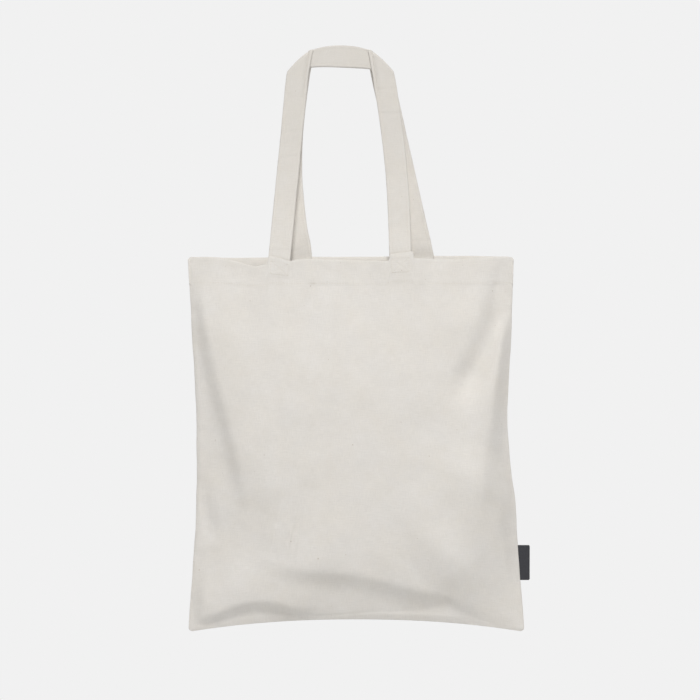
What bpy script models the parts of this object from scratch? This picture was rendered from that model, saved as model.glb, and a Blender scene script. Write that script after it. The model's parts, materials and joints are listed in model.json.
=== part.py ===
"""Canvas tote bag: two cotton panels sewn into a bag, turned hems, two folded strap handles.

Metres, +Z up, the bag's front faces -Y. The origin is the point under the two handles where a
hook or a hand carries the bag, so everything below the handles' crowns has a negative height.
The panels are one smooth surface each, addressed by u across (-1 left seam, 1 right seam) and
v down (0 rim, 1 bottom seam). Every layer sewn to a panel follows that surface at its own inset.
"""
import math

import bmesh
import bpy
from mathutils import Vector

FRONT = -1
BACK = 1
SIDES = {"front": FRONT, "back": BACK}

# Body of the bag
RIM_Z = -0.216
CORNER_Z = -0.639
BOTTOM_ARCH = 0.0135
BOTTOM_ARCH_POWER = 2.2
LEFT_SIDE = ((0.0, -0.173), (0.2, -0.168), (0.5, -0.1625), (0.75, -0.165), (1.0, -0.1725))
RIGHT_SIDE = ((0.0, 0.1962), (0.22, 0.193), (0.44, 0.189), (0.56, 0.1925), (0.66, 0.1985),
              (0.78, 0.2010), (1.0, 0.2085))
CANVAS = 0.0008
PANEL_COLUMNS = 20
PANEL_ROWS = 20
SMOOTH_ANGLE = math.radians(40)

# Fullness: half the outer depth at the seams, at the mouth and in the full lower part
SEAM_HALF_DEPTH = 0.0022
MOUTH_HALF_DEPTH = 0.014
FULL_HALF_DEPTH = 0.031
MOUTH_FLAT_HALF_WIDTH = 0.098
FULL_FLAT_HALF_WIDTH = 0.075
FULL_FROM = 0.36
BOTTOM_CLOSING = 0.27

# Hems, seam allowances and threads
LAYER_GAP = 0.0005
END_GAP = 0.0003
HEM_DEPTH = 0.030
HEM_ROWS = 3
SEAM_WIDTH = 0.010
SEAM_HALF_THICKNESS = 0.0009
OVERLOCK_WIDTH = 0.002
OVERLOCK_HALF_THICKNESS = 0.0011
OVERLOCK_END_GAP = 0.0015
HEM_CLEAR_OF_SEAM = 0.0105
THREAD = 0.0004
THREAD_WIDTH = 0.0009
HEM_STITCH_DROP = 0.0285
BOX_STITCH_SIZE = (0.022, 0.0155)
BOX_STITCH_DROP = 0.004
BOX_CORNER_RUN = 0.002
BOX_DIAGONAL_HALF_WIDTH = 0.00144

# Handles
STRAP_WIDTH = 0.025
STRAP = 0.0016
STRAP_END_DROP = 0.022
HINGE_ABOVE_RIM = 0.0012
SHOULDER_Z = -0.0085
CROWN_FOLD_Z = 0.0181
CROWN_Z = 0.025
SHOULDER_HALF = 0.0612
CROWN_FOLD_HALF = 0.0346
LEG_TOP_DEPTH = 0.0032
BAND_DEPTH = 0.0011
LEG_ROWS = 8
FOLD_STEPS = 4
BAND_ROWS = 6
BAND_CORNER_POWER = 3
# For each handle: foot of the left and right leg, their sideways bow, and how far the crown
# lies inside the widest crown
HANDLES = {
    "front": {"feet": (-0.0690, 0.0678), "bows": (0.0, 0.0045), "crown_inset": 0.0},
    "back": {"feet": (-0.0451, 0.0938), "bows": (-0.010, -0.001), "crown_inset": 0.0027},
}

# Side label
LABEL_TOP_Z = -0.5416
LABEL_BOTTOM_Z = -0.5813
LABEL_OUTER_X = 0.2144
LABEL_GAP = 0.0008
LABEL_THICKNESS = 0.0008
LABEL_CORNER = 0.0018
LABEL_CORNER_STEPS = 3

COTTON = (0.760, 0.728, 0.672)
STRAP_COTTON = (0.745, 0.712, 0.652)
THREAD_COTTON = (0.800, 0.775, 0.725)
LABEL_BLACK = (0.020, 0.020, 0.024)
CLOTH_ROUGHNESS = 0.9
THREAD_ROUGHNESS = 0.7
LABEL_ROUGHNESS = 0.6


def clear_scene():
    for scene_object in list(bpy.data.objects):
        bpy.data.objects.remove(scene_object, do_unlink=True)


def material(name, colour, roughness):
    shader_material = bpy.data.materials.new(name)
    shader_material.use_nodes = True
    shader = shader_material.node_tree.nodes["Principled BSDF"]
    shader.inputs["Base Color"].default_value = (*colour, 1.0)
    shader.inputs["Roughness"].default_value = roughness
    shader.inputs["Metallic"].default_value = 0.0
    return shader_material


def through(points, t):
    """Smooth curve through (t, value) points, level with its neighbours' slope at each one."""
    last = len(points) - 2
    k = min(max(sum(1 for point in points if point[0] <= t) - 1, 0), last)
    (t0, a), (t1, b) = points[k], points[k + 1]
    before, after = points[max(k - 1, 0)], points[min(k + 2, last + 1)]
    slope_a = (b - before[1]) / (t1 - before[0])
    slope_b = (after[1] - a) / (after[0] - t0)
    span = t1 - t0
    s = (t - t0) / span
    rise = (s ** 3 - 2 * s ** 2 + s) * span * slope_a + (s ** 3 - s ** 2) * span * slope_b
    return (2 * s ** 3 - 3 * s ** 2 + 1) * a + (3 * s ** 2 - 2 * s ** 3) * b + rise


def ease(t):
    t = min(max(t, 0.0), 1.0)
    return t ** 3 * (t * (6 * t - 15) + 10)


def quarter_wave(t):
    return math.sin(math.pi / 2 * min(max(t, 0.0), 1.0))


# --- The panels' surface ------------------------------------------------------------------

def side_limits(v):
    v = min(max(v, 0.0), 1.0)
    return through(LEFT_SIDE, v), through(RIGHT_SIDE, v)


def bottom_z(u):
    return CORNER_Z + BOTTOM_ARCH * (1 - min(abs(u), 1.0) ** BOTTOM_ARCH_POWER)


def half_depth(x, v):
    """Half the bag's outer depth at x and level v."""
    left, right = side_limits(v)
    half_width = (right - left) / 2
    widening = ease(v / FULL_FROM)
    flat = MOUTH_FLAT_HALF_WIDTH + (FULL_FLAT_HALF_WIDTH - MOUTH_FLAT_HALF_WIDTH) * widening
    fullness = MOUTH_HALF_DEPTH + (FULL_HALF_DEPTH - MOUTH_HALF_DEPTH) * widening
    from_seam = half_width - abs(x - (left + right) / 2)
    across = quarter_wave(from_seam / (half_width - flat))
    down = quarter_wave((1 - v) / BOTTOM_CLOSING)
    return SEAM_HALF_DEPTH + (fullness - SEAM_HALF_DEPTH) * across * down


def panel_point(side, u, v, inset=0.0):
    """Point of a panel; inset is measured from its outer face towards the bag's inside."""
    left, right = side_limits(v)
    x = (left + right) / 2 + u * (right - left) / 2
    z = RIM_Z + (bottom_z(u) - RIM_Z) * v
    return Vector((x, side * (half_depth(x, v) - inset), z))


def panel_point_at(side, x, drop, inset):
    """The same surface, addressed by x and by the drop below the rim."""
    v = drop / (RIM_Z - CORNER_Z)
    left, right = side_limits(v)
    u = (x - (left + right) / 2) / ((right - left) / 2)
    v = drop / (RIM_Z - bottom_z(u))
    return Vector((x, side * (half_depth(x, v) - inset), RIM_Z - drop))


def steps(start, end, count):
    return [start + (end - start) * k / count for k in range(count + 1)]


# --- Solids -------------------------------------------------------------------------------

def finish_mesh(name, bm, look):
    bmesh.ops.recalc_face_normals(bm, faces=bm.faces)
    mesh = bpy.data.meshes.new(name)
    bm.to_mesh(mesh)
    bm.free()
    mesh.materials.append(look)
    part = bpy.data.objects.new(name, mesh)
    bpy.context.collection.objects.link(part)
    return part


def sheet(name, outer, inner, look):
    """One closed body between two grids of points with the same rows and columns."""
    bm = bmesh.new()
    skins = [[[bm.verts.new(point) for point in row] for row in grid] for grid in (outer, inner)]
    rows, columns = len(outer), len(outer[0])
    for skin in skins:
        for r in range(rows - 1):
            for c in range(columns - 1):
                bm.faces.new((skin[r][c], skin[r][c + 1], skin[r + 1][c + 1], skin[r + 1][c]))
    border = [(0, c) for c in range(columns - 1)]
    border += [(r, columns - 1) for r in range(rows - 1)]
    border += [(rows - 1, c) for c in range(columns - 1, 0, -1)]
    border += [(r, 0) for r in range(rows - 1, 0, -1)]
    for (r0, c0), (r1, c1) in zip(border, border[1:] + border[:1]):
        bm.faces.new((skins[0][r0][c0], skins[0][r1][c1], skins[1][r1][c1], skins[1][r0][c0]))
    return finish_mesh(name, bm, look)


def layer(name, columns, drops, side, insets, look):
    """A flat layer near the rim, between two insets of a panel."""
    grids = [[[panel_point_at(side, x, drop, inset) for x in columns] for drop in drops]
             for inset in insets]
    return sheet(name, grids[0], grids[1], look)


def make_panel(name, side, look):
    us = steps(-1.0, 1.0, PANEL_COLUMNS)
    vs = steps(0.0, 1.0, PANEL_ROWS)
    grids = [[[panel_point(side, u, v, inset) for u in us] for v in vs] for inset in (0.0, CANVAS)]
    part = sheet(name, grids[0], grids[1], look)
    part.data.shade_smooth()
    part.data.set_sharp_from_angle(angle=SMOOTH_ANGLE)
    return part


def make_hem(name, side, look):
    left, right = side_limits(0.0)
    columns = steps(left + HEM_CLEAR_OF_SEAM, right - HEM_CLEAR_OF_SEAM, PANEL_COLUMNS)
    insets = (CANVAS + LAYER_GAP, 2 * CANVAS + LAYER_GAP)
    return layer(name, columns, steps(0.0, HEM_DEPTH, HEM_ROWS), side, insets, look)


def make_hem_stitching(name, side, look):
    left, right = side_limits(0.0)
    columns = steps(left + SEAM_WIDTH / 2, right - SEAM_WIDTH / 2, 2 * PANEL_COLUMNS)
    drops = (HEM_STITCH_DROP, HEM_STITCH_DROP + THREAD_WIDTH)
    return layer(name, columns, drops, side, (-LAYER_GAP - THREAD, -LAYER_GAP), look)


def strap_insets():
    outer = 2 * CANVAS + 2 * LAYER_GAP
    return outer, outer + STRAP


def make_strap_end(name, side, foot, look):
    columns = (foot - STRAP_WIDTH / 2, foot, foot + STRAP_WIDTH / 2)
    drops = steps(-HINGE_ABOVE_RIM + END_GAP, STRAP_END_DROP, 2)
    return layer(name, columns, drops, side, strap_insets(), look)


def make_box_stitching(name, side, foot, look):
    """A sewn box with its two diagonals, as one frame with four three-cornered holes."""
    width, height = BOX_STITCH_SIZE
    corners = [Vector((sx * width / 2, sz * height / 2)) for sx, sz in
               ((-1, -1), (1, -1), (1, 1), (-1, 1))]
    bm = bmesh.new()

    def vertex(flat):
        drop = BOX_STITCH_DROP + height / 2 - flat.y
        return bm.verts.new(panel_point_at(side, foot + flat.x, drop, -LAYER_GAP))

    outer, base_a, base_b, tips = [], [], [], []
    for k, corner in enumerate(corners):
        following = corners[(k + 1) % 4]
        along = (following - corner).normalized()
        inward = Vector((-along.y, along.x))
        depth = abs((corner + following).dot(inward)) / 2
        outer.append(vertex(corner))
        base_a.append(vertex(corner + inward * THREAD_WIDTH + along * BOX_CORNER_RUN))
        base_b.append(vertex(following + inward * THREAD_WIDTH - along * BOX_CORNER_RUN))
        tips.append(vertex((corner + following) / 2 + inward * (depth - BOX_DIAGONAL_HALF_WIDTH)))
    for k in range(4):
        before = (k - 1) % 4
        bm.faces.new((outer[k], outer[(k + 1) % 4], base_b[k], base_a[k]))
        bm.faces.new((outer[k], base_a[k], tips[k], tips[before], base_b[before]))
    bm.faces.new(tips)
    extruded = bmesh.ops.extrude_face_region(bm, geom=bm.faces[:])
    moved = [item for item in extruded["geom"] if isinstance(item, bmesh.types.BMVert)]
    bmesh.ops.translate(bm, verts=moved, vec=(0.0, side * THREAD, 0.0))
    return finish_mesh(name, bm, look)


def make_side_seam(name, edge, look, start, width, half_thickness, foot_gap):
    """A strip beside a side seam, from start to start + width in from the bag's outline.

    It ends foot_gap above the bottom seam.
    """
    def column(depth_in, y):
        points = []
        for v in steps(0.0, 1.0, PANEL_ROWS):
            left, right = side_limits(v)
            u = edge * (1 - depth_in / ((right - left) / 2))
            height = RIM_Z - bottom_z(u)
            point = panel_point(FRONT, u, v * (1 - foot_gap / height))
            points.append(Vector((point.x, y, point.z)))
        return points

    grids = []
    for y in (-half_thickness, half_thickness):
        columns = [column(depth_in, y) for depth_in in (start, start + width)]
        grids.append([list(row) for row in zip(*columns)])
    return sheet(name, grids[0], grids[1], look)


def make_bottom_seam(name, look, start, width, half_thickness, end_gap):
    """A strip along the bottom seam, from start to start + width above the bag's bottom edge."""
    left, right = side_limits(1.0)
    half_width = (right - left) / 2
    reach = 1 - end_gap / half_width
    grids = []
    for y in (-half_thickness, half_thickness):
        rows = []
        for rise in (start, start + width):
            row = []
            for u in steps(-reach, reach, PANEL_COLUMNS):
                x = (left + right) / 2 + u * half_width
                row.append(Vector((x, y, bottom_z(u) + rise)))
            rows.append(row)
        grids.append(rows)
    return sheet(name, grids[0], grids[1], look)


def leg_rows(side, foot, top, bow):
    """Rows of a leg from the hinge up to the shoulder, each its two edges and outward normal."""
    foot_depth = MOUTH_HALF_DEPTH - sum(strap_insets()) / 2
    low = Vector((foot, side * foot_depth, RIM_Z + HINGE_ABOVE_RIM))
    high = Vector((top, side * LEG_TOP_DEPTH, SHOULDER_Z))
    lean = math.atan2(top - foot, high.z - low.z)
    half = STRAP_WIDTH / 2 / math.cos(lean)
    rows = []
    for t in steps(0.0, 1.0, LEG_ROWS):
        centre = low.lerp(high, t)
        centre.x += bow * math.sin(math.pi * t)
        reach = Vector((half, 0.0, 0.0))
        rows.append((centre - reach, centre + reach, Vector((0.0, side, 0.0))))
    return rows


def fold_rows(side, low, high):
    """Rows around a diagonal fold, from the leg's layer to the crown band's layer behind it."""
    along = (high - low).normalized()
    outward = Vector((-along.z, 0.0, along.x)) * (1 if along.x > 0 else -1)
    middle = side * (LEG_TOP_DEPTH + BAND_DEPTH) / 2
    radius = (LEG_TOP_DEPTH - BAND_DEPTH) / 2
    rows = []
    for angle in steps(0.0, math.pi, FOLD_STEPS):
        normal = Vector((0.0, side * math.cos(angle), 0.0)) + outward * math.sin(angle)
        shift = normal * radius + Vector((0.0, middle, 0.0))
        rows.append((low + shift, high + shift, normal))
    return rows


def band_rows(side, shoulder, crown):
    """Rows of the band between the two folds: its lower and upper edge, arched to the crown."""
    rows = []
    for f in steps(-1.0, 1.0, BAND_ROWS)[1:-1]:
        lower = Vector((f * shoulder, side * BAND_DEPTH, SHOULDER_Z * abs(f) ** BAND_CORNER_POWER))
        rise = (CROWN_Z - CROWN_FOLD_Z) * (1 - f ** 2)
        upper = Vector((f * crown, side * BAND_DEPTH, CROWN_FOLD_Z + rise))
        rows.append((lower, upper, Vector((0.0, -side, 0.0))))
    return rows


def make_handle(name, side, feet, bows, crown_inset, look):
    """One strap: up a leg, over a diagonal fold, along the crown band, and down again."""
    shoulder = SHOULDER_HALF - crown_inset
    crown = CROWN_FOLD_HALF - crown_inset
    top = shoulder - STRAP_WIDTH / 2
    left = leg_rows(side, feet[0], -top, bows[0])[:-1]
    right = leg_rows(side, feet[1], top, bows[1])[:-1]
    left_fold = fold_rows(side, Vector((-shoulder, 0.0, SHOULDER_Z)),
                          Vector((-crown, 0.0, CROWN_FOLD_Z)))
    right_fold = fold_rows(side, Vector((shoulder, 0.0, SHOULDER_Z)),
                           Vector((crown, 0.0, CROWN_FOLD_Z)))
    rows = left + left_fold + band_rows(side, shoulder, crown) + right_fold[::-1]
    rows += [(right_edge, left_edge, normal) for left_edge, right_edge, normal in right[::-1]]
    half = STRAP / 2
    outer = [[a + normal * half, b + normal * half] for a, b, normal in rows]
    inner = [[a - normal * half, b - normal * half] for a, b, normal in rows]
    part = sheet(name, outer, inner, look)
    set_origin(part, Vector((0.0, hinge_y(side), RIM_Z + HINGE_ABOVE_RIM)))
    return part


def hinge_y(side):
    """The handles fold over the rim about the middle of the panel and its hem."""
    return side * (MOUTH_HALF_DEPTH - CANVAS - LAYER_GAP / 2)


def set_origin(part, point):
    for vertex in part.data.vertices:
        vertex.co -= point
    part.location = point


def make_label(name, look):
    """A folded label held in the right side seam, its outer corners rounded."""
    def seam_x(z):
        v = (RIM_Z - z) / (RIM_Z - CORNER_Z)
        return side_limits(v)[1] + LABEL_GAP

    outline = [(seam_x(LABEL_BOTTOM_Z), LABEL_BOTTOM_Z)]
    for centre_z, first in ((LABEL_BOTTOM_Z + LABEL_CORNER, -90), (LABEL_TOP_Z - LABEL_CORNER, 0)):
        for degrees in steps(first, first + 90, LABEL_CORNER_STEPS):
            angle = math.radians(degrees)
            outline.append((LABEL_OUTER_X - LABEL_CORNER + LABEL_CORNER * math.cos(angle),
                            centre_z + LABEL_CORNER * math.sin(angle)))
    outline.append((seam_x(LABEL_TOP_Z), LABEL_TOP_Z))
    bm = bmesh.new()
    bm.faces.new([bm.verts.new((x, -LABEL_THICKNESS / 2, z)) for x, z in outline])
    extruded = bmesh.ops.extrude_face_region(bm, geom=bm.faces[:])
    moved = [item for item in extruded["geom"] if isinstance(item, bmesh.types.BMVert)]
    bmesh.ops.translate(bm, verts=moved, vec=(0.0, LABEL_THICKNESS, 0.0))
    part = finish_mesh(name, bm, look)
    set_origin(part, Vector((seam_x(LABEL_BOTTOM_Z), 0.0, LABEL_BOTTOM_Z)))
    return part


def build_body(cotton, thread):
    for word, side in SIDES.items():
        make_panel(f"{word}_panel", side, cotton)
        make_hem(f"{word}_hem", side, cotton)
        make_hem_stitching(f"{word}_hem_stitching", side, thread)
    overlock_start = SEAM_WIDTH + END_GAP
    foot_gap = overlock_start
    for word, edge in (("left", -1), ("right", 1)):
        make_side_seam(f"{word}_side_seam", edge, cotton, 0.0, SEAM_WIDTH,
                       SEAM_HALF_THICKNESS, foot_gap)
        make_side_seam(f"{word}_overlock_thread", edge, thread, overlock_start, OVERLOCK_WIDTH,
                       OVERLOCK_HALF_THICKNESS, foot_gap)
    make_bottom_seam("bottom_seam", cotton, 0.0, SEAM_WIDTH, SEAM_HALF_THICKNESS, 0.0)
    make_bottom_seam("bottom_overlock_thread", thread, overlock_start, OVERLOCK_WIDTH,
                     OVERLOCK_HALF_THICKNESS, overlock_start + OVERLOCK_WIDTH + OVERLOCK_END_GAP)


def build_handles(strap_cotton, thread):
    for word, side in SIDES.items():
        handle = HANDLES[word]
        make_handle(f"{word}_handle_strap", side, handle["feet"], handle["bows"],
                    handle["crown_inset"], strap_cotton)
        for leg, foot in zip(("left", "right"), handle["feet"]):
            make_strap_end(f"{word}_{leg}_strap_end", side, foot, strap_cotton)
            make_box_stitching(f"{word}_{leg}_box_stitching", side, foot, thread)


def main():
    clear_scene()
    cotton = material("cotton_canvas", COTTON, CLOTH_ROUGHNESS)
    strap_cotton = material("strap_canvas", STRAP_COTTON, CLOTH_ROUGHNESS)
    thread = material("cotton_thread", THREAD_COTTON, THREAD_ROUGHNESS)
    woven = material("woven_label", LABEL_BLACK, LABEL_ROUGHNESS)
    build_body(cotton, thread)
    build_handles(strap_cotton, thread)
    make_label("side_label", woven)


main()
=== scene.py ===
"""Looks of the canvas tote bag: cloth panels with turned hems, folded straps, stitches and label.

Metres, +Z up, the bag's front faces -Y. Each panel is one sheet of canvas, addressed by u across
(-1 left seam, 1 right seam) and v down (0 rim, 1 bottom seam), like the CAD panels it replaces.
Every cloth mesh carries a UV map named "flat": its own flat coordinates in metres, which the
woven materials use.
"""
import json
import math

import bpy
import numpy as np
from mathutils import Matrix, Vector, noise

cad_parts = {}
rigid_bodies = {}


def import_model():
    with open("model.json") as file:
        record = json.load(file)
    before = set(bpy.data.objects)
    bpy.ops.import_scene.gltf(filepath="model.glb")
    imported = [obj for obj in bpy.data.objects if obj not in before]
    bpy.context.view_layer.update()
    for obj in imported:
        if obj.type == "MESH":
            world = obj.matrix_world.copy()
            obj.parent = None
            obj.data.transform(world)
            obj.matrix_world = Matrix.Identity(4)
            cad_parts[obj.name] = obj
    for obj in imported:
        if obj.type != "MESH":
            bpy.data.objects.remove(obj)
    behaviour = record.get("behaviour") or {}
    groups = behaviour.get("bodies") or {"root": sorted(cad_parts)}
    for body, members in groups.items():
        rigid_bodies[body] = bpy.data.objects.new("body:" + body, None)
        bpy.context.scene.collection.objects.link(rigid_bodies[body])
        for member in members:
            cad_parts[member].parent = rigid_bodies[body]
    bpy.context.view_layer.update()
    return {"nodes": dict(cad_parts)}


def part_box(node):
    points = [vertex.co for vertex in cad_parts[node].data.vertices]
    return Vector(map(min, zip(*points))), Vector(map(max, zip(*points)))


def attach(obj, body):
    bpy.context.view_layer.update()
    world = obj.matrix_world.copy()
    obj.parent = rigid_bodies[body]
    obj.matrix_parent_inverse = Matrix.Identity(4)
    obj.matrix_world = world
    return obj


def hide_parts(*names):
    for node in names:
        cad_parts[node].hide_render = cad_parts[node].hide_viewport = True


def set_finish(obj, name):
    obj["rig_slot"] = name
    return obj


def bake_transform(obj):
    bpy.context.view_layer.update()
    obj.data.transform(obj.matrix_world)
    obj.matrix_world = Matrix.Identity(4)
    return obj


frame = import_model()

FRONT = -1
BACK = 1
MM = 0.001

# Cloth and thread
CANVAS = 0.8 * MM
STRAP = 1.7 * MM
STRAP_WIDTH = 25 * MM
STRAP_SEWN_LENGTH = 22 * MM
HEM_DEPTH = 30 * MM
HEM_STITCH_DROP = HEM_DEPTH - 1.5 * MM
SEAM_WIDTH = 10 * MM
THREAD_RADIUS = 0.24 * MM
STITCH_PITCH = 3.0 * MM
STITCH_LENGTH = 2.5 * MM
WEAVE_PITCH = 0.55 * MM
LABEL_WEAVE_PITCH = 0.28 * MM

# What the frame says
PANEL_LOW, PANEL_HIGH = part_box("front_panel")
RIM_Z = PANEL_HIGH.z
CORNER_Z = PANEL_LOW.z
FULL_DEPTH = -PANEL_LOW.y


# --- Small helpers ---

def ease(t):
    """A smooth step from 0 to 1."""
    t = np.clip(t, 0.0, 1.0)
    return t * t * (3 - 2 * t)


def bump(distance, width):
    """A smooth hill, 1 at distance 0."""
    return np.exp(-(distance / width) ** 2)


def fade(drop, length):
    """1 at the rim and above it, then less and less further down."""
    return np.exp(-np.maximum(drop, 0) / length)


def distances_along(points):
    """How far along a line each of its points lies, from 0."""
    return np.concatenate([[0], np.cumsum(np.linalg.norm(points[1:] - points[:-1], axis=1))])


def flat_grid(across, down):
    """Flat coordinates of a grid's points, from those of its columns and its rows."""
    return np.stack(np.broadcast_arrays(across[None, :], down[:, None]), axis=-1)


def add_object(name, data):
    made = bpy.data.objects.new(name, data)
    bpy.context.collection.objects.link(made)
    return made


def spaced(start, end, coarse, fine_spans=(), fine=1.0 * MM):
    """Positions from start to end at most coarse apart, and fine apart inside each fine span."""
    positions = [start]
    while positions[-1] < end - 1e-9:
        here = positions[-1]
        near = any(low - coarse / 2 <= here <= high for low, high in fine_spans)
        positions.append(min(here + (fine if near else coarse), end))
    return np.array(positions)


def perlin(points, size, seed=0.0):
    """Smooth noise from -1 to 1 over an (..., 3) array, with features of the given size."""
    flat = points.reshape(-1, 3) / size
    values = [noise.noise(Vector((x + seed, y - seed, z + 2 * seed))) for x, y, z in flat]
    return np.array(values).reshape(points.shape[:-1])


def grid_mesh(name, points, flat, closed=False):
    """A mesh from an (rows, columns, 3) array. A closed grid is a tube with capped ends."""
    rows, columns = points.shape[:2]
    spans = columns if closed else columns - 1
    index = np.arange(rows * columns).reshape(rows, columns)
    right = (np.arange(spans) + 1) % columns
    quads = np.stack([index[:-1, :spans], index[:-1][:, right], index[1:][:, right],
                      index[1:, :spans]], axis=-1).reshape(-1, 4).tolist()
    caps = [index[0][::-1].tolist(), index[-1].tolist()] if closed else []
    mesh = bpy.data.meshes.new(name)
    mesh.from_pydata(points.reshape(-1, 3).tolist(), [], quads + caps)
    corners = np.stack([flat[:-1, :spans], flat[:-1, 1:spans + 1], flat[1:, 1:spans + 1],
                        flat[1:, :spans]], axis=2).reshape(-1, 2)
    uv = np.zeros((len(mesh.loops), 2), np.float32)
    uv[:len(corners)] = corners
    mesh.uv_layers.new(name="flat").data.foreach_set("uv", uv.ravel())
    mesh.polygons.foreach_set("use_smooth", [True] * len(mesh.polygons))
    return add_object(name, mesh)


def give_thickness(piece, thickness):
    """Turn a sheet into a closed solid of the given thickness, half of it on each side."""
    solidify = piece.modifiers.new("cloth_thickness", "SOLIDIFY")
    solidify.thickness = thickness
    solidify.offset = 0.0
    solidify.use_even_offset = True
    bpy.context.view_layer.objects.active = piece
    bpy.context.view_layer.update()
    evaluated = piece.evaluated_get(bpy.context.evaluated_depsgraph_get())
    mesh = bpy.data.meshes.new_from_object(evaluated)
    piece.modifiers.clear()
    piece.data = mesh


# --- The panels ---

CAD_ROWS = 20
# The outline's rounded lower corners and the unevenness of its sides
CORNER_RADIUS = 4.5 * MM
EDGE_WAVE = 0.28 * MM
# How far the faces stand off the middle plane, and over what distance from a seam they get there
MOUTH_DEPTH = 10.5 * MM
BELLY_CLEARANCE = 1.5 * MM
WIDENED_AT = 0.42
MOUTH_RUN = 0.088
ADDED_RUN = 0.050
BOTTOM_RUN = 0.165
LIP_DEPTH = 2.8 * MM
LIP_HEIGHT = 8 * MM
# The turned-in edges at the seams, and the gathers and the low ridge beside them
SEAM_RADIUS = 0.55 * MM
SEAM_GAP = 0.05 * MM
PUCKER_HEIGHT = 0.22 * MM
SEAM_RIDGE = 0.3 * MM
# What shows through the face of the hem, the strap ends and the seam allowances
HEM_STEP = 0.46 * MM
HEM_GROOVE = 0.24 * MM
STRAP_STEP = 0.30 * MM
CROSS_GROOVE = 0.22 * MM
CROSS_SLOPE = 1.45
BOX_MIDDLE = 12 * MM
ALLOWANCE_STEP = 0.45 * MM
# The folds fade out toward the seams and never take away more than this leaves of the fullness
FOLD_MARGIN = 16 * MM
LEAST_FULLNESS = 0.35
LIMIT_SOFTNESS = 1.5 * MM
# Unevenness of the cloth: height, size, seed
UNEVENNESS = ((1.5 * MM, 95 * MM, 3.0), (1.05 * MM, 34 * MM, 7.0), (0.28 * MM, 11 * MM, 11.0))
# How the rim leaves its level course
RIM_REACH = 26 * MM
RIM_WANDER = 1.2 * MM
SLACK = {FRONT: 4.0 * MM, BACK: -3.0 * MM}
BACK_FLARE = 3.2 * MM
# The grid: step across, step down, the finer step, and the radius of the turn over the rim
STEP_ACROSS = 3.2 * MM
STEP_DOWN = 3.0 * MM
STEP_IN_HEM = 2.5 * MM
FINE_STEP = 0.8 * MM
RIM_TURN = 0.55 * MM


def read_outline():
    """The CAD panel's outline: levels v, left x and right x at them, and the bottom's arch."""
    vertices = np.array([vertex.co for vertex in frame["nodes"]["front_panel"].data.vertices])
    levels = np.linspace(0, 1, CAD_ROWS + 1)
    left, right = [], []
    for v in levels:
        z = RIM_Z + (CORNER_Z - RIM_Z) * v
        row = vertices[np.abs(vertices[:, 2] - z) < 0.3 * MM]
        left.append(row[:, 0].min())
        right.append(row[:, 0].max())
    middle = vertices[np.abs(vertices[:, 0] - (left[-1] + right[-1]) / 2) < 10 * MM]
    return levels, np.array(left), np.array(right), middle[:, 2].min() - CORNER_Z


LEVELS, LEFT_X, RIGHT_X, BOTTOM_ARCH = read_outline()


def side_limits(v):
    """X of the left and the right edge at v."""
    v = np.asarray(v, float)
    height = np.clip((1 - v) * (RIM_Z - CORNER_Z) / CORNER_RADIUS, 0, 1)
    corner = CORNER_RADIUS * (1 - np.sqrt(1 - (1 - height) ** 2))
    wave = EDGE_WAVE * (np.sin(19 * v + 1) + 0.8 * np.sin(43 * v + 2) + 0.3 * np.sin(97 * v))
    wave = wave * np.sin(np.pi * np.clip(v, 0, 1)) ** 0.3
    return (np.interp(v, LEVELS, LEFT_X) + corner + wave,
            np.interp(v, LEVELS, RIGHT_X) - corner - 0.8 * wave)


def bottom_z(u):
    """Height of the arched bottom seam at u."""
    return CORNER_Z + BOTTOM_ARCH * (1 - np.minimum(np.abs(u), 1.0) ** 2.2)


def strap_feet(word):
    """X of the two feet of a handle, from the CAD's sewn strap ends."""
    feet = []
    for leg in ("left", "right"):
        low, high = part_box(f"{word}_{leg}_strap_end")
        feet.append((low.x + high.x) / 2)
    return feet


def smooth_path(points):
    """A finer path on a smooth curve through the given points (Catmull-Rom)."""
    points = np.array(points, float) * MM
    padded = np.vstack([2 * points[0] - points[1], points, 2 * points[-1] - points[-2]])
    path = []
    for a, b, c, d in zip(padded[:-3], padded[1:-2], padded[2:-1], padded[3:]):
        for t in (0.0, 0.25, 0.5, 0.75):
            path.append(0.5 * (2 * b + (c - a) * t + (2 * a - 5 * b + 4 * c - d) * t ** 2
                               + (3 * b - a - 3 * c + d) * t ** 3))
    return np.array(path + [points[-1]])


def distance_to_path(x, z, path):
    """Signed distance to a path in the XZ plane (positive on its left) and place along it."""
    lengths = np.hypot(*(path[1:] - path[:-1]).T)
    starts = np.concatenate([[0], np.cumsum(lengths)])
    best = np.full(x.shape, 9.0)
    signed = np.zeros(x.shape)
    along = np.zeros(x.shape)
    for k, (a, b) in enumerate(zip(path[:-1], path[1:])):
        dx, dz = b - a
        t = np.clip(((x - a[0]) * dx + (z - a[1]) * dz) / lengths[k] ** 2, 0, 1)
        distance = np.hypot(x - a[0] - t * dx, z - a[1] - t * dz)
        side = np.where(dx * (z - a[1]) - dz * (x - a[0]) > 0, 1.0, -1.0)
        closer = distance < best
        best = np.where(closer, distance, best)
        signed = np.where(closer, distance * side, signed)
        along = np.where(closer, (starts[k] + t * lengths[k]) / starts[-1], along)
    return signed, along


def fold(x, z, height, left_width, right_width, points):
    """A soft ridge (or valley) along a path, with its own width on each side; sizes in mm."""
    signed, along = distance_to_path(x, z, smooth_path(points))
    width = np.where(signed > 0, left_width, right_width) * MM
    taper = ease(along / 0.28) * ease((1 - along) / 0.28)
    return height * MM * taper * bump(signed, width)


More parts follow.
